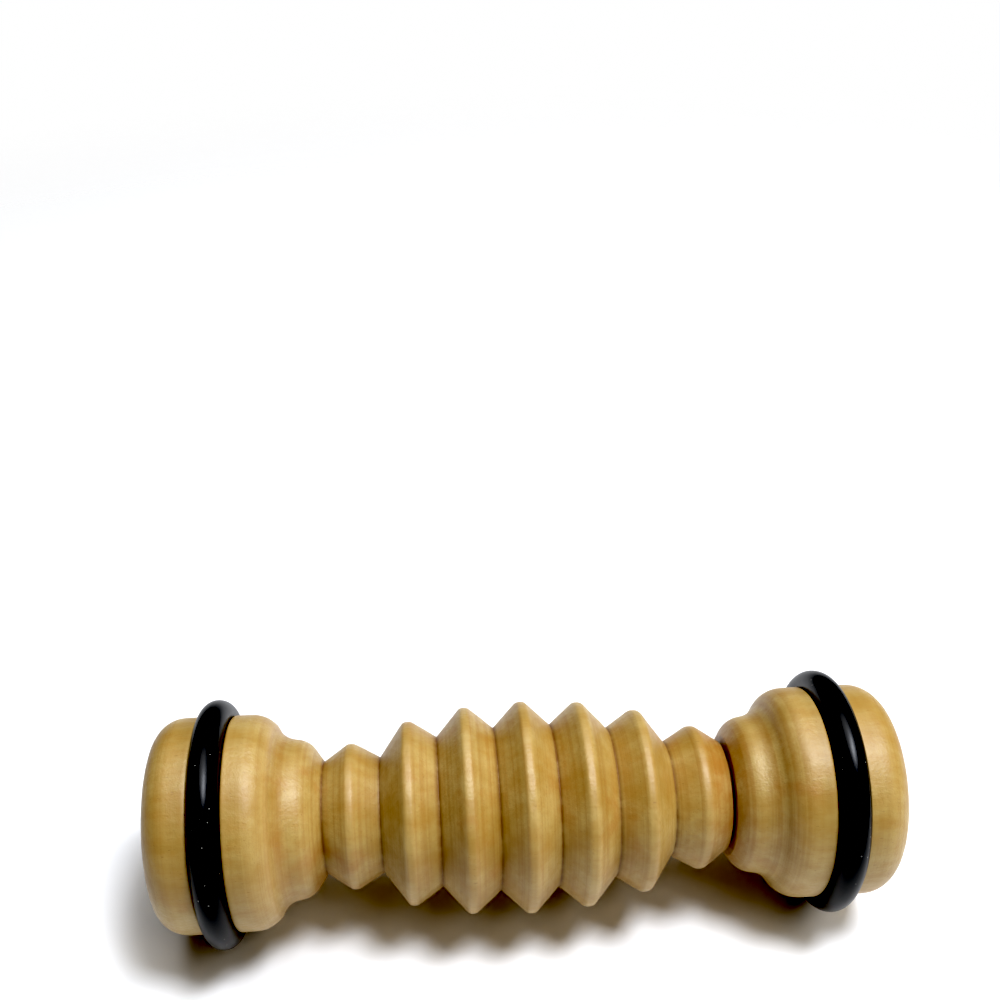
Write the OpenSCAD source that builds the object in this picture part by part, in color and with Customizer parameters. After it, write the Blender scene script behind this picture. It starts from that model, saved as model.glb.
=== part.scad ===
// Foot massage roller. One piece of turned wood: seven V-cut ridges between two round knobs.
// A black rubber ring sits in a round groove on each knob. The roller lies along X and
// rests on its two rings; the origin is on the surface, under the middle of the roller.

/* [Body] */
// Overall length, from end face to end face
body_len = 170; // [166:1:180]
// Diameter of both knobs
knob_d = 50; // [49:0.5:54]
// Radius of the rounded rim at each end
rim_r = 6.6; // [4:0.2:8]
// Width of the lathe-centre mark in each end face
centre_mark_d = 2.4; // [1:0.2:4]

/* [Ridges] */
// Distance from one ridge crest to the next
ridge_pitch = 13.45; // [12.8:0.05:13.6]
// Diameters over the crests, from the middle ridge outwards
crest_d = [49.7, 48.2, 43, 33.9]; // [32:0.1:54]
// Diameters at the valley floors, from beside the middle ridge outwards
valley_d = [38.1, 35.1, 26.9, 26.1]; // [24:0.1:40]
// Width of the narrow flat along the top of each crest
crest_flat = 0.6; // [0.2:0.1:1.4]
// Radius of the two edges of that flat
crest_round = 1.4; // [0.6:0.1:1.6]

/* [Knob] */
// Distance from the middle of the roller to the floor of the cut beside each knob
neck_x = 46.7; // [46:0.1:47.2]
// Diameter at the top of the shoulder beside the ridges
shoulder_d = 37.2; // [34:0.2:40]
// Distance from the middle of the roller to the top of the shoulder
shoulder_x = 53.4; // [52.6:0.2:54]
// Radius of the shoulder
shoulder_r = 5.6; // [5:0.1:6.2]
// Radius of the hollow between the shoulder and the knob
cove_r = 6.2; // [5.8:0.1:8]
// Radius of the knob's inner edge
knob_edge_r = 6.5; // [5.6:0.1:7.5]
// Distance from the middle of the roller to where the knob reaches its full diameter
knob_x = 63.2; // [62.6:0.2:64]

/* [Parting cut] */
// Width of the narrow saw-like cut at the foot of the right-hand neck
cut_w = 0.8; // [0.4:0.1:1]
// Depth of that cut below the valley floor
cut_depth = 2; // [0.5:0.5:4]

/* [Rubber rings] */
// Thickness of the ring's round section
cord_d = 7; // [6:0.1:7.4]
// Inside diameter of the ring when it is stretched into its groove
ring_bore_d = 43.7; // [42:0.1:46]
// Distance between the two rings, centre to centre
ring_spacing = 141.3; // [140:0.1:142]
// How much wider than the ring's section its groove is
groove_play = 0.3; // [0.2:0.1:0.8]
// Radius of the groove's two lips
lip_r = 0.5; // [0.4:0.1:0.8]

/* [Hidden] */

wood_colour = [0.83, 0.66, 0.38];
rubber_colour = [0.03, 0.03, 0.035];

$fn = 96;
arc_step = 6;

end_x = body_len / 2;
knob_r = knob_d / 2;
ring_x = ring_spacing / 2;
cord_r = cord_d / 2;
ring_r = ring_bore_d / 2 + cord_r;
groove_r = cord_r + groove_play / 2;
groove_centre = [ring_x, ring_bore_d / 2 + groove_r];
axis_z = ring_r + cord_r;
centre_mark_depth = centre_mark_d / 2;

// Outlines are lists of [distance along the axis, radius] points.
shoulder_centre = [shoulder_x, shoulder_d / 2 - shoulder_r];
knob_edge_centre = [knob_x, knob_r - knob_edge_r];
cove_centre = upper_meeting(
    shoulder_centre, shoulder_r + cove_r, knob_edge_centre, cove_r + knob_edge_r
);

function direction(from, to) = atan2(to[1] - from[1], to[0] - from[0]);

function arc(centre, radius, from, to) =
    let (steps = max(1, ceil(abs(to - from) / arc_step)))
    [for (i = [0:steps])
        let (angle = from + (to - from) * i / steps)
        centre + radius * [cos(angle), sin(angle)]];

// Where two circles cross, on the side away from the axis
function upper_meeting(centre_a, radius_a, centre_b, radius_b) =
    let (
        apart = norm(centre_b - centre_a),
        along = (apart * apart + radius_a * radius_a - radius_b * radius_b) / (2 * apart),
        across = sqrt(radius_a * radius_a - along * along),
        unit = (centre_b - centre_a) / apart
    )
    centre_a + along * unit + across * [-unit[1], unit[0]];

// Angle at which a straight flank from a valley floor touches a rounded top.
// The side is -1 where the valley is on the middle's side of the top, and 1 beyond it.
function flank_angle(valley, centre, radius, side) =
    direction(valley, centre) - side * (90 + asin(radius / norm(centre - valley)));

function valley(i) = i < 3 ? [(i + 0.5) * ridge_pitch, valley_d[i] / 2]
                           : [neck_x, valley_d[i] / 2];

// A ridge's blunt crest and the valley beyond it. The middle ridge starts at its middle.
function ridge(i) =
    let (
        crest_r = crest_d[i] / 2,
        near = [i * ridge_pitch - crest_flat / 2, crest_r - crest_round],
        far = [i * ridge_pitch + crest_flat / 2, crest_r - crest_round],
        start = i == 0 ? 90 : flank_angle(valley(i - 1), near, crest_round, -1),
        end = flank_angle(valley(i), far, crest_round, 1)
    )
    concat(
        i == 0 ? [[0, crest_r]] : arc(near, crest_round, start, 90),
        arc(far, crest_round, 90, end),
        [valley(i)]
    );

function shoulder() = arc(
    shoulder_centre, shoulder_r,
    flank_angle(valley(3), shoulder_centre, shoulder_r, -1),
    direction(shoulder_centre, cove_centre)
);

function cove() = arc(
    cove_centre, cove_r,
    180 + direction(shoulder_centre, cove_centre),
    180 + direction(knob_edge_centre, cove_centre)
);

function knob_edge() = arc(
    knob_edge_centre, knob_edge_r, direction(knob_edge_centre, cove_centre), 90
);

// The ring's groove: a round floor between two rounded lips
function groove() =
    let (
        lip_z = knob_r - lip_r,
        drop = groove_centre[1] - lip_z,
        lip_dx = sqrt(pow(groove_r + lip_r, 2) - drop * drop),
        near_lip = [ring_x - lip_dx, lip_z],
        far_lip = [ring_x + lip_dx, lip_z],
        slope = asin(drop / (groove_r + lip_r))
    )
    concat(
        arc(near_lip, lip_r, 90, slope),
        arc(groove_centre, groove_r, 180 + slope, 360 - slope),
        arc(far_lip, lip_r, 180 - slope, 90)
    );

function rim() = arc([end_x - rim_r, knob_r - rim_r], rim_r, 90, 0);

function centre_mark() = [
    [end_x, centre_mark_d / 2],
    [end_x - centre_mark_depth, 0]
];

function half_outline() = concat(
    ridge(0), ridge(1), ridge(2), ridge(3),
    shoulder(), cove(), knob_edge(), groove(), rim(), centre_mark()
);

function mirrored(outline) =
    [for (i = [len(outline) - 1:-1:0]) [-outline[i][0], outline[i][1]]];

// Both halves share the top of the middle ridge, so the mirrored half leaves that point out.
function whole_outline() =
    let (half = half_outline(), other_half = [for (i = [1:len(half) - 1]) half[i]])
    concat(mirrored(other_half), half);

// Turns an outline about the roller's axis
module turned(outline) {
    translate([0, 0, axis_z])
        rotate([0, 90, 0])
            rotate_extrude()
                polygon([for (p = outline) [p[1], p[0]]]);
}

module parting_cut() {
    floor_r = valley_d[3] / 2 - cut_depth;
    mouth_r = shoulder_d / 2;
    turned([
        [neck_x, floor_r],
        [neck_x + cut_w, floor_r],
        [neck_x + cut_w, mouth_r],
        [neck_x, mouth_r]
    ]);
}

module wooden_body() {
    color(wood_colour)
        difference() {
            turned(whole_outline());
            parting_cut();
        }
}

module ring(x) {
    color(rubber_colour)
        translate([x, 0, axis_z])
            rotate([0, 90, 0])
                rotate_extrude()
                    translate([ring_r, 0])
                        circle(r = cord_r);
}

module left_ring() {
    ring(-ring_x);
}

module right_ring() {
    ring(ring_x);
}

wooden_body();
left_ring();
right_ring();
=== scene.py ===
"""Looks of the foot massage roller: a turned wooden body and two rubber rings, on a pale studio floor.

The body's outline and the rings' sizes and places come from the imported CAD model. Lengths in the
mesh and material code are in millimetres, because marks and dents are easier to read that way.
"""

import math
from types import SimpleNamespace

import bpy
import numpy as np
from mathutils import Matrix, Vector


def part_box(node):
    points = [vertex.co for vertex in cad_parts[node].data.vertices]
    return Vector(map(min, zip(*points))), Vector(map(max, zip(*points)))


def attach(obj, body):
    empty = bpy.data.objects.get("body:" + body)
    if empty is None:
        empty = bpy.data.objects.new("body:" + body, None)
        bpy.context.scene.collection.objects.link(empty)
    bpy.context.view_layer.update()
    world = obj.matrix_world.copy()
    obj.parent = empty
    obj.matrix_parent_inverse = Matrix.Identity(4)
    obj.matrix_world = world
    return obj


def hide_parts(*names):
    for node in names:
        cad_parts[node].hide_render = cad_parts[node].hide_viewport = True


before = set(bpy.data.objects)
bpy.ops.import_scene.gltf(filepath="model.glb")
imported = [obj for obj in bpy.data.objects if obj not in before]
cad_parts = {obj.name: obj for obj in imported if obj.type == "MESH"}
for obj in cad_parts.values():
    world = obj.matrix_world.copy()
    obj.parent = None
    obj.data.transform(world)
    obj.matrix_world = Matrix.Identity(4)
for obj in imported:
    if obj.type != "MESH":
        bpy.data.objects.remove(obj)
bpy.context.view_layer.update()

MM = 0.001
SEED = 11

# ---------------------------------------------------------------- sizes read from the frame

WOOD, LEFT_RING, RIGHT_RING = "wooden_body", "left_ring", "right_ring"
wood_low, wood_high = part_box(WOOD)
HALF_LENGTH = (wood_high.x - wood_low.x) / 2
AXIS_Z = (wood_high.z + wood_low.z) / 2
MIDDLE = Vector((0, 0, AXIS_Z))


# ---------------------------------------------------------------- mesh helpers

def new_object(name, vertices_mm, faces, material):
    """A smooth-shaded mesh object from an array of points in millimetres and a list of faces."""
    mesh = bpy.data.meshes.new(name)
    mesh.from_pydata((vertices_mm * MM).tolist(), [], faces)
    mesh.polygons.foreach_set("use_smooth", [True] * len(mesh.polygons))
    mesh.materials.append(material)
    mesh.update()
    piece = bpy.data.objects.new(name, mesh)
    bpy.context.collection.objects.link(piece)
    return piece


def point_values(piece, name, values):
    """Stores one number per vertex, for the material to read."""
    layer = piece.data.attributes.new(name, "FLOAT", "POINT")
    layer.data.foreach_set("value", np.asarray(values, dtype=np.float32))


def ripples(rng, along, around, count, wavelength, turns):
    """Smooth random waves over a surface, of unit RMS: wavelength is a (low, high) range in
    millimetres along it, turns the (low, high) number of whole waves round it."""
    total = np.zeros(np.broadcast(along, around).shape)
    for _ in range(count):
        length = math.exp(rng.uniform(math.log(wavelength[0]), math.log(wavelength[1])))
        waves = rng.integers(turns[0], turns[1] + 1) * rng.choice((-1, 1))
        total += np.cos(2 * math.pi * along / length + waves * around + rng.uniform(0, 2 * math.pi))
    return total / math.sqrt(count / 2)


# ---------------------------------------------------------------- the turned outline

STEP = 0.1              # spacing of the fine outline, before stations are chosen
SOFTEN = 0.25           # how far sanding rounds the outward corners
VALLEY_SOFTEN = 0.10    # the hollows and the narrow parting cut, which sanding doesn't reach
STATION_GAP = 0.62      # widest gap between stations on plain stretches
STATION_TURN = math.radians(6)   # most that the outline turns between two stations
FACET_X = -57.8         # where the turning tool left a line on the left knob
FACET_HEIGHT, FACET_WIDTH = 0.22, 0.8
RELIEF_WIDTH = 0.6      # size of the hollows and crests that are painted darker (pooled varnish and painted shade) or lighter (wear and painted highlight)
RELIEF_GAIN = 1.6       # how soon a hollow or a crest counts as a full one
SAME_X = 0.02           # CAD points closer than this along the axis are one place on the outline
MARK_RADIUS = 2.0       # the lathe-centre marks lie inside this radius


def cad_outline():
    """(x, radius) points of the CAD body's outline in millimetres, from its left end to its right."""
    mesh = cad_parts[WOOD].data
    places = np.empty(len(mesh.vertices) * 3)
    mesh.vertices.foreach_get("co", places)
    x, y, z = places.reshape(-1, 3).T / MM
    points = np.unique(np.round(np.c_[x, np.hypot(y, z - AXIS_Z / MM)], 2), axis=0)
    mark = points[points[:, 1] < MARK_RADIUS]
    side = points[points[:, 1] >= MARK_RADIUS]
    outline = []
    for start in np.flatnonzero(np.diff(side[:, 0], prepend=-np.inf) > SAME_X):
        here = side[np.abs(side[:, 0] - side[start, 0]) <= SAME_X]
        low, high = here[:, 1].min(), here[:, 1].max()
        radii = [here[:, 1].mean()] if high - low < SAME_X else [low, high]
        if outline and abs(outline[-1][1] - radii[-1]) < abs(outline[-1][1] - radii[0]):
            radii.reverse()     # at a step, the radius nearer the last point comes first
        outline += [(side[start, 0], radius) for radius in radii]
    edge, tip = mark[mark[:, 0].argmax()], mark[mark[:, 1].argmin()]
    tip_x = abs(tip[0])
    left_mark = [(-tip_x, 0.0), (-edge[0], edge[1])]
    right_mark = [(edge[0], edge[1]), (tip_x, 0.0)]
    return np.array(left_mark + outline + right_mark)


def resampled(points, step):
    """Points a fixed step apart along a line of straight pieces."""
    lengths = np.r_[0, np.cumsum(np.hypot(*np.diff(points, axis=0).T))]
    at = np.linspace(0, lengths[-1], int(lengths[-1] / step))
    return np.c_[np.interp(at, lengths, points[:, 0]), np.interp(at, lengths, points[:, 1])]


def smoothed(values, width):
    """A Gaussian average, width samples wide, which leaves the two ends in place."""
    reach = int(4 * width)
    weights = np.exp(-0.5 * (np.arange(-reach, reach + 1) / width) ** 2)
    padded = np.r_[
        2 * values[0] - values[reach:0:-1], values, 2 * values[-1] - values[-2:-reach - 2:-1]
    ]
    return np.convolve(padded, weights / weights.sum(), "valid")


def facet_line(x):
    """1 along the line that the turning tool left on the left knob, falling to 0 beside it."""
    return np.exp(-np.abs(x - FACET_X) / FACET_WIDTH)


def turned_outline():
    """The sanded outline as stations: x, radius, the outward normal, distance along, and how much
    of a hollow or a crest each place is, from 0 to 1."""
    fine = resampled(cad_outline(), STEP)
    sanded = smoothed(fine[:, 1], SOFTEN / STEP)
    sharp = smoothed(fine[:, 1], VALLEY_SOFTEN / STEP)
    fine = np.c_[smoothed(fine[:, 0], VALLEY_SOFTEN / STEP), np.minimum(sanded, sharp)]
    fine[[0, -1], 1] = 0
    along = np.r_[0, np.cumsum(np.hypot(*np.diff(fine, axis=0).T))]
    heading = np.unwrap(np.arctan2(np.gradient(fine[:, 1]), np.gradient(fine[:, 0])))
    relief = (smoothed(fine[:, 1], RELIEF_WIDTH / STEP) - fine[:, 1]) / RELIEF_WIDTH
    keep, last = [0], 0
    for i in range(1, len(fine) - 1):
        turned = np.abs(np.diff(heading[last:i + 1])).sum()
        if along[i] - along[last] >= STATION_GAP or turned >= STATION_TURN:
            keep.append(i)
            last = i
    keep.append(len(fine) - 1)
    return {
        "x": fine[keep, 0],
        "radius": fine[keep, 1],
        "normal": np.c_[-np.sin(heading), np.cos(heading)][keep],
        "along": along[keep],
        "hollow": np.clip(RELIEF_GAIN * relief, 0, 1)[keep],
        # The tool's line joins the crests here, so that it too is painted lighter, as a painted
        # highlight.
        "crest": (np.clip(-RELIEF_GAIN * relief, 0, 1) + facet_line(fine[:, 0]))[keep],
    }


# ---------------------------------------------------------------- the wooden body

AROUND = 192            # points round the body
TOWARDS_FRONT = math.radians(128)   # the side of the body that faces up and to the front
CREST_PLACES = (-40, -27, -13.5, 0, 13.5, 27, 40)   # about where the seven ridges stand
KNOCKS_ON_A_CREST = 4
KNOCKS_ON_KNOBS = 26
KNOB_SPAN = (56, 84)    # the part of a knob that gets knocked, measured from the middle
KNOB_RADIUS = 25
OUT_OF_ROUND = 0.05     # at the knobs' radius
HAND_WAVES, FINE_WAVES = 0.022, 0.007   # RMS height of what hand sanding leaves
EVEN_WITHIN = 3         # radius within which the two ends grow even, towards the lathe-centre marks


def dented(x, angle, radius, dents):
    """How deep the small knocks are. Each is (x, angle, half length, half width, depth): the angle
    is in radians and the rest in millimetres."""
    depth = np.zeros(np.broadcast(x, angle).shape)
    for at_x, at_angle, half_length, half_width, deep in dents:
        across = (angle - at_angle + math.pi) % (2 * math.pi) - math.pi
        far = ((x - at_x) / half_length) ** 2 + (across * radius / half_width) ** 2
        depth += deep * np.exp(-far)
    return depth


def knocks(rng):
    """Small knocks: a pair on the middle ridge, a pit on the left knob, and others scattered where
    use puts them, on the crests and the knobs."""
    dents = [
        (0.3, TOWARDS_FRONT - 0.16, 0.5, 0.9, 0.22),
        (0.2, TOWARDS_FRONT + 0.06, 0.45, 0.7, 0.16),
        (-61.5, TOWARDS_FRONT - 0.55, 0.5, 0.6, 0.35),
    ]
    for x in CREST_PLACES:
        for _ in range(KNOCKS_ON_A_CREST):
            dents.append((
                x + rng.uniform(-0.5, 0.5), rng.uniform(0, 2 * math.pi),
                rng.uniform(0.4, 0.8), rng.uniform(0.5, 1.6), rng.uniform(0.05, 0.14),
            ))
    for _ in range(KNOCKS_ON_KNOBS):
        dents.append((
            rng.choice((-1, 1)) * rng.uniform(*KNOB_SPAN), rng.uniform(0, 2 * math.pi),
            rng.uniform(0.4, 1.2), rng.uniform(0.4, 1.2), rng.uniform(0.03, 0.10),
        ))
    return dents


def make_wooden_body(material):
    """The whole turned body as one lathe grid, with the unevenness that hand sanding leaves."""
    rng = np.random.default_rng(SEED)
    outline = turned_outline()
    x, radius, along = outline["x"][:, None], outline["radius"][:, None], outline["along"][:, None]
    angle = np.linspace(0, 2 * math.pi, AROUND, endpoint=False)[None, :]
    lift = OUT_OF_ROUND * (radius / KNOB_RADIUS) * np.cos(2 * angle + 0.7 + x / 60)
    lift += HAND_WAVES * ripples(rng, along, angle, 24, (9, 40), (0, 4))
    lift += FINE_WAVES * ripples(rng, along, angle, 40, (3, 7), (6, 24))
    lift -= dented(x, angle, radius, knocks(rng))
    lift += FACET_HEIGHT * facet_line(x)
    lift *= np.clip(radius / EVEN_WITHIN, 0, 1)
    px = x + lift * outline["normal"][:, :1]
    pr = radius + lift * outline["normal"][:, 1:]
    px = np.clip(px, -HALF_LENGTH / MM, HALF_LENGTH / MM)
    rows = np.stack([px, pr * np.cos(angle), pr * np.sin(angle) + AXIS_Z / MM], axis=-1)[1:-1]
    tips = [[outline["x"][0], 0, AXIS_Z / MM], [outline["x"][-1], 0, AXIS_Z / MM]]
    count = len(rows)
    faces = []
    for i in range(count - 1):
        for j in range(AROUND):
            k = (j + 1) % AROUND
            here, there = i * AROUND, (i + 1) * AROUND
            faces.append((here + j, here + k, there + k, there + j))
    left_tip, right_tip, last = count * AROUND, count * AROUND + 1, (count - 1) * AROUND
    for j in range(AROUND):
        k = (j + 1) % AROUND
        faces.append((left_tip, k, j))
        faces.append((right_tip, last + j, last + k))
    piece = new_object("turned_wooden_body", np.vstack([rows.reshape(-1, 3), tips]), faces, material)
    for name in ("hollow", "crest"):
        values = np.repeat(outline[name][1:-1], AROUND)
        point_values(piece, name, np.r_[values, 0, 0])
    return piece


# ---------------------------------------------------------------- the rubber rings

RING_AROUND, RING_TUBE = 288, 56    # points round the ring, and round its section
SEAT_SQUEEZE = 0.10     # how much flatter the rubber is where the stretched ring presses on wood
THINNING = 0.012        # half the share by which the rubber thins where it is stretched most
RUBBER_RIPPLE = 0.012   # RMS height of its moulded surface's waves
SWAY_ONCE, SWAY_TWICE = 0.10, 0.05  # how far it leaves its plane, once and twice round


def make_rubber_ring(name, node, seed, material):
    """A stretched rubber ring: a torus, flatter on its seat, that isn't perfectly round or straight."""
    rng = np.random.default_rng(seed)
    low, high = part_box(node)
    tube = (high.x - low.x) / 2 / MM
    outer = (high.z - low.z) / 2 / MM
    middle_x = (high.x + low.x) / 2 / MM
    round_axis = np.linspace(0, 2 * math.pi, RING_AROUND, endpoint=False)[:, None]
    round_tube = np.linspace(0, 2 * math.pi, RING_TUBE, endpoint=False)[None, :]
    outward, sideways = np.cos(round_tube), np.sin(round_tube)
    squeeze = 1 - SEAT_SQUEEZE * np.clip(-outward, 0, 1) ** 2
    thin = 1 - THINNING * (1 + np.cos(round_axis * 2 + rng.uniform(0, 6)))
    ripple = RUBBER_RIPPLE * ripples(rng, tube * round_tube, round_axis, 16, (7, 22), (2, 14))
    size = np.clip(tube * thin * squeeze + ripple, None, tube)
    sway = SWAY_ONCE * np.cos(round_axis + rng.uniform(0, 6))
    sway = sway + SWAY_TWICE * np.cos(2 * round_axis)
    x = middle_x + np.clip(sway + size * sideways, -tube, tube)
    r = (outer - tube) + size * outward
    points = np.stack(
        [x, r * np.cos(round_axis), r * np.sin(round_axis) + AXIS_Z / MM], axis=-1
    ).reshape(-1, 3)
    faces = []
    for i in range(RING_AROUND):
        for j in range(RING_TUBE):
            here, there = i * RING_TUBE, (i + 1) % RING_AROUND * RING_TUBE
            k = (j + 1) % RING_TUBE
            faces.append((here + j, there + j, there + k, here + k))
    piece = new_object(name, points, faces, material)
    point_values(piece, "seat", np.tile(np.clip(-outward[0] - 0.2, 0, 1), RING_AROUND))
    return piece


# ---------------------------------------------------------------- material helpers

class Graph:
    """Short calls for building one material's nodes."""

    def __init__(self, name):
        self.material = bpy.data.materials.new(name)
        self.material.use_nodes = True
        self.tree = self.material.node_tree
        self.shader = self.tree.nodes["Principled BSDF"]

    def put(self, socket, value):
        if isinstance(value, bpy.types.NodeSocket):
            self.tree.links.new(value, socket)
        else:
            socket.default_value = value

    def node(self, kind, inputs=(), **settings):
        made = self.tree.nodes.new(kind)
        for name, value in settings.items():
            setattr(made, name, value)
        for name, value in dict(inputs).items():
            self.put(made.inputs[name], value)
        return made

    def math(self, operation, a, b=0.0, c=0.0, clamp=False):
        inputs = {0: a, 1: b, 2: c}
        return self.node("ShaderNodeMath", inputs, operation=operation, use_clamp=clamp).outputs[0]

    def mix(self, factor, a, b):
        """A colour between a and b."""
        made = self.node("ShaderNodeMix", data_type="RGBA")
        for socket, value in ((0, factor), (6, a), (7, b)):
            self.put(made.inputs[socket], value)
        return made.outputs[2]

    def band(self, value, low, high, to_low=0.0, to_high=1.0):
        """The value's range low to high, smoothly spread over to_low to to_high."""
        inputs = {"Value": value, 1: low, 2: high, 3: to_low, 4: to_high}
        kind = "SMOOTHSTEP"
        return self.node("ShaderNodeMapRange", inputs, interpolation_type=kind).outputs[0]

    def spread(self, vector, scale, offset=(0, 0, 0)):
        """The vector times a scale for each axis, moved by an offset."""
        inputs = {"Vector": vector, "Scale": scale, "Location": offset}
        return self.node("ShaderNodeMapping", inputs).outputs[0]

    def noise(self, vector, detail=3.0, roughness=0.5, output="Fac"):
        inputs = {"Vector": vector, "Scale": 1.0, "Detail": detail, "Roughness": roughness}
        return self.node("ShaderNodeTexNoise", inputs).outputs[output]

    def add(self, a, b):
        """The sum of two vectors."""
        return self.node("ShaderNodeVectorMath", {0: a, 1: b}, operation="ADD").outputs[0]

    def value_of(self, name):
        """The number that the mesh stores under a name."""
        return self.node("ShaderNodeAttribute", attribute_name=name).outputs["Fac"]

    def places(self):
        """Object coordinates in millimetres, from the middle of the roller's axis."""
        at = self.node("ShaderNodeTexCoord").outputs["Object"]
        return self.spread(at, (1 / MM,) * 3, (0, 0, -AXIS_Z / MM))

    def bump(self, height, distance, normal=None):
        """Distance is how high in millimetres the surface stands where height is 1."""
        inputs = {"Height": height, "Distance": distance * MM, "Strength": 1.0}
        if normal is not None:
            inputs["Normal"] = normal
        return self.node("ShaderNodeBump", inputs).outputs[0]


def srgb(red, green, blue):
    """A linear colour from display values of 0 to 255."""
    channels = [c / 255 for c in (red, green, blue)]
    return [c / 12.92 if c <= 0.04045 else ((c + 0.055) / 1.055) ** 2.4 for c in channels] + [1]


# ---------------------------------------------------------------- wood

PITH = (-6.0, 4.0)      # where the tree's heart ran, off the roller's axis (y, z)
RING_GAP = 1.7          # distance from one year's growth to the next
CUT_TINGE_AND_SHADE_X = 45.5      # the middle of the darker orange around the parting cut: the wood's own tinge there with painted shade of the knob's shoulder

DULL_WOOD, PALE_WOOD = srgb(167, 138, 78), srgb(184, 161, 106)
MOTTLED, LATE_WOOD, FIBRE = srgb(166, 125, 56), srgb(143, 97, 40), srgb(144, 97, 38)
# CUT_TINGE_AND_SHADE is the darker orange beside the parting cut, the wood's own tinge with painted
# shade.
LATHE_STREAK, STAINED, CUT_TINGE_AND_SHADE = srgb(143, 96, 34), srgb(158, 98, 38), srgb(148, 82, 24)
# SOILED_AND_SHADED is the dark brown of the hollows, pooled varnish with painted shade;
# WORN_AND_HIGHLIGHT is the pale of the crests, wear with a painted highlight.
PORE, WORN_AND_HIGHLIGHT, SOILED_AND_SHADED = srgb(104, 66, 30), srgb(200, 172, 120), srgb(86, 38, 9)


def growth_rings(g, at):
    """0 to 1 through each year of growth, from pale early wood to darker late wood."""
    drift = g.noise(g.spread(at, (0.012, 0.05, 0.05)), detail=2.0, output="Color")
    tilted = g.node("ShaderNodeMapping", {
        "Vector": g.add(at, drift), "Location": (0, -PITH[0], -PITH[1]),
        "Rotation": (0, math.radians(1.6), math.radians(-2.2)),
    }).outputs[0]
    _, y, z = g.node("ShaderNodeSeparateXYZ", {0: tilted}).outputs
    far = g.math("SQRT", g.math("MULTIPLY_ADD", y, y, g.math("MULTIPLY", z, z)))
    uneven = g.noise(g.spread(at, (0.01, 0.06, 0.06)), detail=2.0)
    far = g.math("MULTIPLY_ADD", uneven, 3.0, far)
    year = g.math("FRACT", g.math("DIVIDE", far, RING_GAP))
    late = g.math("POWER", year, 2.5)
    early = g.band(year, 0.0, 0.14, 1.0, 0.0)
    return g.math("MAXIMUM", late, early, clamp=True)


def wood_patterns(g):
    """The numbers over the surface that the wood's colour, gloss and relief are made from."""
    at = g.places()
    x, y, z = g.node("ShaderNodeSeparateXYZ", {0: at}).outputs
    radius = g.math("SQRT", g.math("MULTIPLY_ADD", y, y, g.math("MULTIPLY", z, z)))
    turned_at = g.node("ShaderNodeCombineXYZ", {0: x, 1: radius}).outputs[0]
    nearly_round = g.add(turned_at, g.spread(at, (0, 0.012, 0.012)))
    normal = g.node("ShaderNodeNewGeometry").outputs["Normal"]
    facing = g.node("ShaderNodeSeparateXYZ", {0: normal}).outputs[0]
    return SimpleNamespace(
        from_cut=g.math("ABSOLUTE", g.math("SUBTRACT", x, CUT_TINGE_AND_SHADE_X)),
        slope=g.math("ABSOLUTE", facing),
        hollow=g.value_of("hollow"),
        crest=g.value_of("crest"),
        rings=growth_rings(g, at),
        patches=g.noise(g.spread(at, (0.035, 0.09, 0.09)), detail=4.0, roughness=0.6),
        mottle=g.noise(g.spread(at, (0.20, 0.32, 0.32)), detail=4.0, roughness=0.58),
        fibres=g.noise(g.spread(at, (0.10, 2.2, 2.2)), detail=4.0, roughness=0.65),
        lathe=g.noise(nearly_round, detail=4.0, roughness=0.62),
        pores=g.noise(g.spread(at, (0.8, 4.2, 4.2)), detail=2.0),
        stain=g.noise(g.spread(at, (0.07, 0.10, 0.10), (31, 7, 3)), roughness=0.55),
        lumps=g.noise(g.spread(at, (1.3, 1.3, 1.3)), roughness=0.6),
    )


def wood_colour(g, wood):
    """Pale wood, then what darkens it, then crests lightened by wear and painted highlight, and hollows
    darkened by pooled varnish and painted shade.
    """
    colour = g.mix(g.band(wood.patches, 0.32, 0.68), DULL_WOOD, PALE_WOOD)
    colour = g.mix(g.band(wood.mottle, 0.38, 0.68, 0.0, 0.26), colour, MOTTLED)
    on_end = g.band(wood.slope, 0.80, 1.0, 0.05, 0.50)
    colour = g.mix(g.math("MULTIPLY", wood.rings, on_end), colour, LATE_WOOD)
    colour = g.mix(g.band(wood.fibres, 0.50, 0.78, 0.0, 0.18), colour, FIBRE)
    on_flank = g.band(wood.slope, 0.10, 0.55, 0.10, 0.30)
    streaks = g.math("MULTIPLY", g.band(wood.lathe, 0.40, 0.66), on_flank)
    colour = g.mix(streaks, colour, LATHE_STREAK)
    colour = g.mix(g.band(wood.stain, 0.56, 0.74, 0.0, 0.30), colour, STAINED)
    # Painted shade: beside the parting cut the last ridge and the knob's neck turn darker orange,
    # partly the wood's own tinge and partly the knob's shade painted into the colour.
    beside_cut = g.band(wood.from_cut, 1.5, 6.5, 0.34, 0.0)
    tinge_and_shade = g.math("MULTIPLY", beside_cut, g.band(wood.mottle, 0.35, 0.65, 0.5, 1.0))
    colour = g.mix(tinge_and_shade, colour, CUT_TINGE_AND_SHADE)
    colour = g.mix(g.band(wood.pores, 0.67, 0.75, 0.0, 0.45), colour, PORE)
    # Painted highlight: the crests and the tool's line are lightened, partly worn varnish and partly a
    # highlight painted into the colour.
    colour = g.mix(g.math("MULTIPLY", wood.crest, 0.40, clamp=True), colour, WORN_AND_HIGHLIGHT)
    # Painted shade: the hollows are darkened to dark brown, partly varnish pooled there and partly
    # shade painted into the colour.
    soiled_and_shaded = g.math("MULTIPLY", wood.hollow, g.band(wood.mottle, 0.25, 0.60, 0.60, 1.00))
    return g.mix(soiled_and_shaded, colour, SOILED_AND_SHADED)


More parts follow.
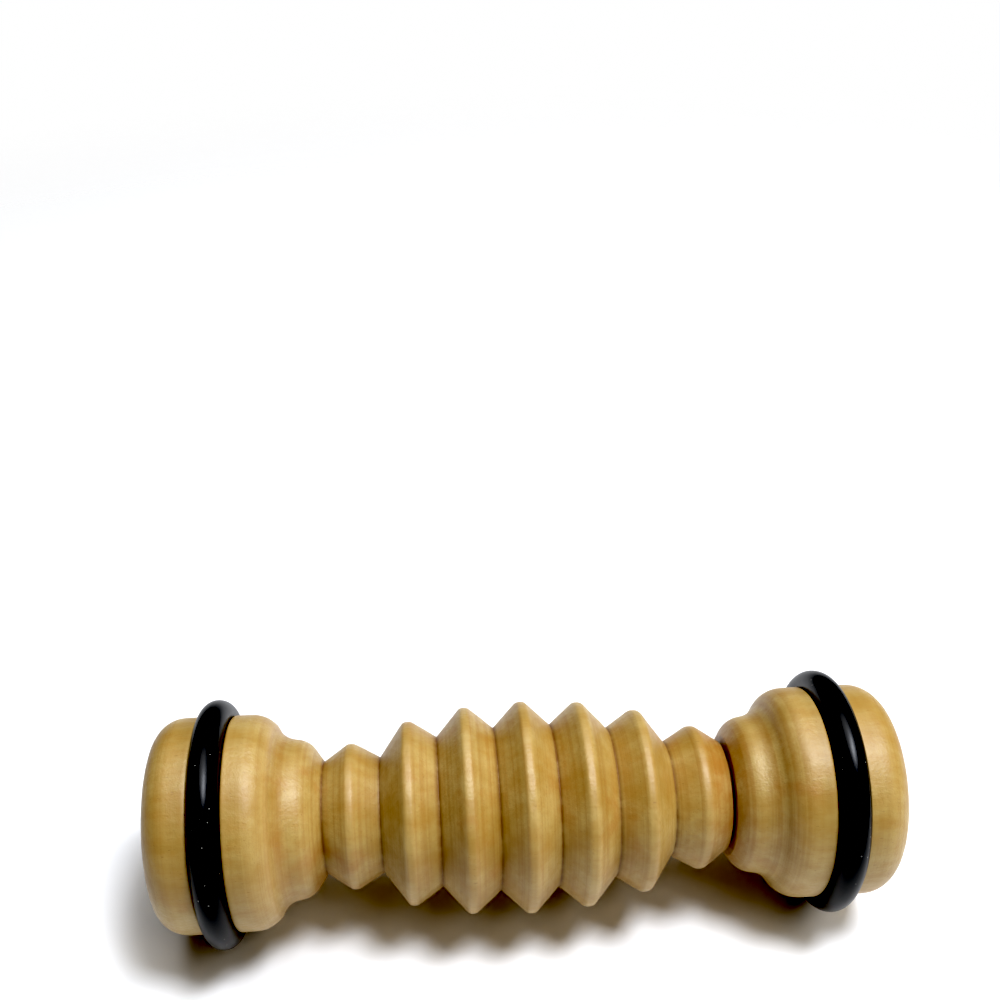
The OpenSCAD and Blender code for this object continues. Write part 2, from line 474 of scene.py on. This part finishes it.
def wood_material():
    """Pale fine-grained wood, turned, sanded, and given a thin golden varnish."""
    g = Graph("varnished_wood")
    wood = wood_patterns(g)
    g.put(g.shader.inputs["Base Color"], wood_colour(g, wood))
    rough = g.math("MULTIPLY_ADD", wood.mottle, 0.20, 0.42)
    rough = g.math("MULTIPLY_ADD", wood.rings, 0.06, rough)
    g.put(g.shader.inputs["Roughness"], g.math("MULTIPLY_ADD", wood.hollow, 0.3, rough, clamp=True))
    g.shader.inputs["Specular IOR Level"].default_value = 0.45
    g.shader.inputs["Coat Weight"].default_value = 0.80
    g.shader.inputs["Coat Roughness"].default_value = 0.48
    g.shader.inputs["Coat IOR"].default_value = 1.48

    grain = g.math("MULTIPLY_ADD", wood.fibres, 0.7, g.math("MULTIPLY", wood.pores, -0.6))
    normal = g.bump(grain, 0.020)
    normal = g.bump(wood.lathe, 0.036, normal=normal)
    uneven = g.math("MULTIPLY", wood.lumps, g.band(wood.patches, 0.35, 0.65, 0.35, 1.0))
    g.put(g.shader.inputs["Normal"], g.bump(uneven, 0.10, normal=normal))
    g.put(g.shader.inputs["Coat Normal"], g.bump(uneven, 0.20))
    return g.material


# ---------------------------------------------------------------- rubber

CLEAN_RUBBER, BLOOMED_RUBBER = srgb(7, 7, 8), srgb(16, 17, 19)
DUST, SEAT_RUBBER = srgb(150, 150, 145), srgb(6, 6, 6)


def rubber_material():
    """Black moulded rubber: smooth, faintly bloomed, with a few specks of dust."""
    g = Graph("black_rubber")
    at = g.places()
    bloom = g.noise(g.spread(at, (0.12, 0.12, 0.12)), detail=4.0, roughness=0.65)
    fine = g.noise(g.spread(at, (2.4, 2.4, 2.4)), detail=4.0, roughness=0.6)
    specks = g.node("ShaderNodeTexVoronoi", {
        "Vector": g.spread(at, (0.60, 0.60, 0.60)), "Scale": 1.0,
    })
    chosen = g.node("ShaderNodeSeparateColor", {0: specks.outputs["Color"]}).outputs[0]
    dot = g.band(specks.outputs["Distance"], 0.07, 0.13, 1.0, 0.0)
    speck = g.math("MULTIPLY", dot, g.band(chosen, 0.56, 0.62))     # only a few of the dots are kept
    colour = g.mix(g.band(bloom, 0.35, 0.75), CLEAN_RUBBER, BLOOMED_RUBBER)
    colour = g.mix(g.math("MULTIPLY", speck, 0.8), colour, DUST)
    colour = g.mix(g.value_of("seat"), colour, SEAT_RUBBER)
    g.put(g.shader.inputs["Base Color"], colour)
    rough = g.math("MULTIPLY_ADD", bloom, 0.14, 0.28)
    g.put(g.shader.inputs["Roughness"], g.math("MULTIPLY_ADD", speck, 0.4, rough, clamp=True))
    g.shader.inputs["Specular IOR Level"].default_value = 0.34
    normal = g.bump(fine, 0.012)
    g.put(g.shader.inputs["Normal"], g.bump(speck, 0.03, normal=normal))
    return g.material


# ---------------------------------------------------------------- floor, light and camera

FLOOR_SIZE = 3.0                # metres
FLOOR_FADE = (260.0, 700.0)     # millimetres from the roller's middle
BOARD, BOARD_SHADE = srgb(250, 250, 250), srgb(247, 247, 247)


def floor_material():
    """White board that turns transparent away from the roller, so that it ends in the surround."""
    g = Graph("pale_floor")
    at = g.places()
    cloud = g.noise(g.spread(at, (0.004, 0.004, 0.004)), detail=3.0)
    g.put(g.shader.inputs["Base Color"], g.mix(cloud, BOARD, BOARD_SHADE))
    g.shader.inputs["Roughness"].default_value = 0.85
    g.shader.inputs["Specular IOR Level"].default_value = 0.1
    far = g.node("ShaderNodeVectorMath", {0: at}, operation="LENGTH").outputs["Value"]
    nothing = g.node("ShaderNodeBsdfTransparent").outputs[0]
    faded = g.node("ShaderNodeMixShader", {
        0: g.band(far, *FLOOR_FADE), 1: g.shader.outputs[0], 2: nothing,
    })
    g.put(g.tree.nodes["Material Output"].inputs["Surface"], faded.outputs[0])
    return g.material


def make_floor():
    half = FLOOR_SIZE / 2 / MM
    corners = np.array([(-half, -half, 0), (half, -half, 0), (half, half, 0), (-half, half, 0)])
    floor = new_object("studio_floor", corners, [(0, 1, 2, 3)], floor_material())


def softbox(name, azimuth, elevation, distance, size, power, colour=(1, 1, 1)):
    """A soft area light that faces the roller. Azimuth 0 is the front, 90 the right."""
    a, e = math.radians(azimuth), math.radians(elevation)
    way = Vector((math.sin(a) * math.cos(e), -math.cos(a) * math.cos(e), math.sin(e)))
    data = bpy.data.lights.new(name, "AREA")
    data.shape = "RECTANGLE"
    data.size, data.size_y = size
    data.energy = power
    data.color = colour
    light = bpy.data.objects.new(name, data)
    light.location = MIDDLE + way * distance
    light.rotation_euler = (-way).to_track_quat("-Z", "Y").to_euler()
    bpy.context.collection.objects.link(light)
    return light


WORLD_LIGHT = 0.02      # how much light the surround gives; the camera sees it at full strength
COOL, WARM = (0.96, 1.0, 1.08), (1.0, 0.92, 0.80)
PRINT_GAMMA = 0.85      # the firm contrast of a product print
PRINT_BLACK = 0.06      # and its deep blacks


def light_studio():
    softbox("overhead_light", 69, 73, 1.1, (0.30, 0.30), 10.8, COOL)
    softbox("back_light", 180, 80, 1.3, (0.90, 0.90), 9.4)
    right = softbox("right_light", 94, 38, 1.3, (0.45, 0.45), 5.5)
    front = softbox("front_light", 40, 50, 1.3, (0.45, 0.45), 2.9, WARM)
    for fill in (right, front):
        fill.visible_glossy = False     # they model the form and leave one clear highlight
    world = bpy.data.worlds.new("white_studio")
    world.use_nodes = True
    nodes, links = world.node_tree.nodes, world.node_tree.links
    strength = nodes.new("ShaderNodeMapRange")
    strength.inputs["To Min"].default_value = WORLD_LIGHT
    strength.inputs["To Max"].default_value = 1.0
    seen = nodes.new("ShaderNodeLightPath").outputs["Is Camera Ray"]
    links.new(seen, strength.inputs["Value"])
    nodes["Background"].inputs["Color"].default_value = (1, 1, 1, 1)
    links.new(strength.outputs["Result"], nodes["Background"].inputs["Strength"])
    bpy.context.scene.world = world
    view = bpy.context.scene.view_settings
    view.view_transform = "Standard"
    view.gamma = PRINT_GAMMA
    view.use_curve_mapping = True
    view.curve_mapping.black_level = (PRINT_BLACK,) * 3
    view.curve_mapping.update()


CAMERA_AZIMUTH = math.radians(-4.26)    # how far it stands to the left of the front
CAMERA_PITCH = math.radians(40.93)      # how far it looks down
CAMERA_LENS = 41.38     # millimetres
CAMERA_SHIFT = 0.15     # of the lens upwards, as a share of the picture
# Where the roller's middle lies from the camera, as shares of the roller's length:
TO_RIGHT, TO_BELOW, AHEAD = 0.0348, 0.2181, 1.6048


def place_camera():
    a, e = CAMERA_AZIMUTH, CAMERA_PITCH
    right = Vector((math.cos(a), math.sin(a), 0))
    up = Vector((-math.sin(a) * math.sin(e), math.cos(a) * math.sin(e), math.cos(e)))
    ahead = Vector((-math.sin(a) * math.cos(e), math.cos(a) * math.cos(e), -math.sin(e)))
    length = 2 * HALF_LENGTH
    data = bpy.data.cameras.new("camera")
    data.lens = CAMERA_LENS
    data.shift_y = CAMERA_SHIFT
    data.clip_start, data.clip_end = 0.01, 20
    camera = bpy.data.objects.new("camera", data)
    turn = Matrix((right, up, -ahead)).transposed().to_4x4()
    place = MIDDLE - length * (TO_RIGHT * right - TO_BELOW * up + AHEAD * ahead)
    camera.matrix_world = Matrix.Translation(place) @ turn
    bpy.context.collection.objects.link(camera)
    bpy.context.scene.camera = camera


# ---------------------------------------------------------------- the whole object

def build():
    wood, rubber = wood_material(), rubber_material()
    body = make_wooden_body(wood)
    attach(body, "root")
    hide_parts(WOOD)
    for node, seed in ((LEFT_RING, SEED + 1), (RIGHT_RING, SEED + 2)):
        ring = make_rubber_ring("rubber_" + node, node, seed, rubber)
        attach(ring, "root")
        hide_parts(node)
    make_floor()
    light_studio()
    place_camera()


build()
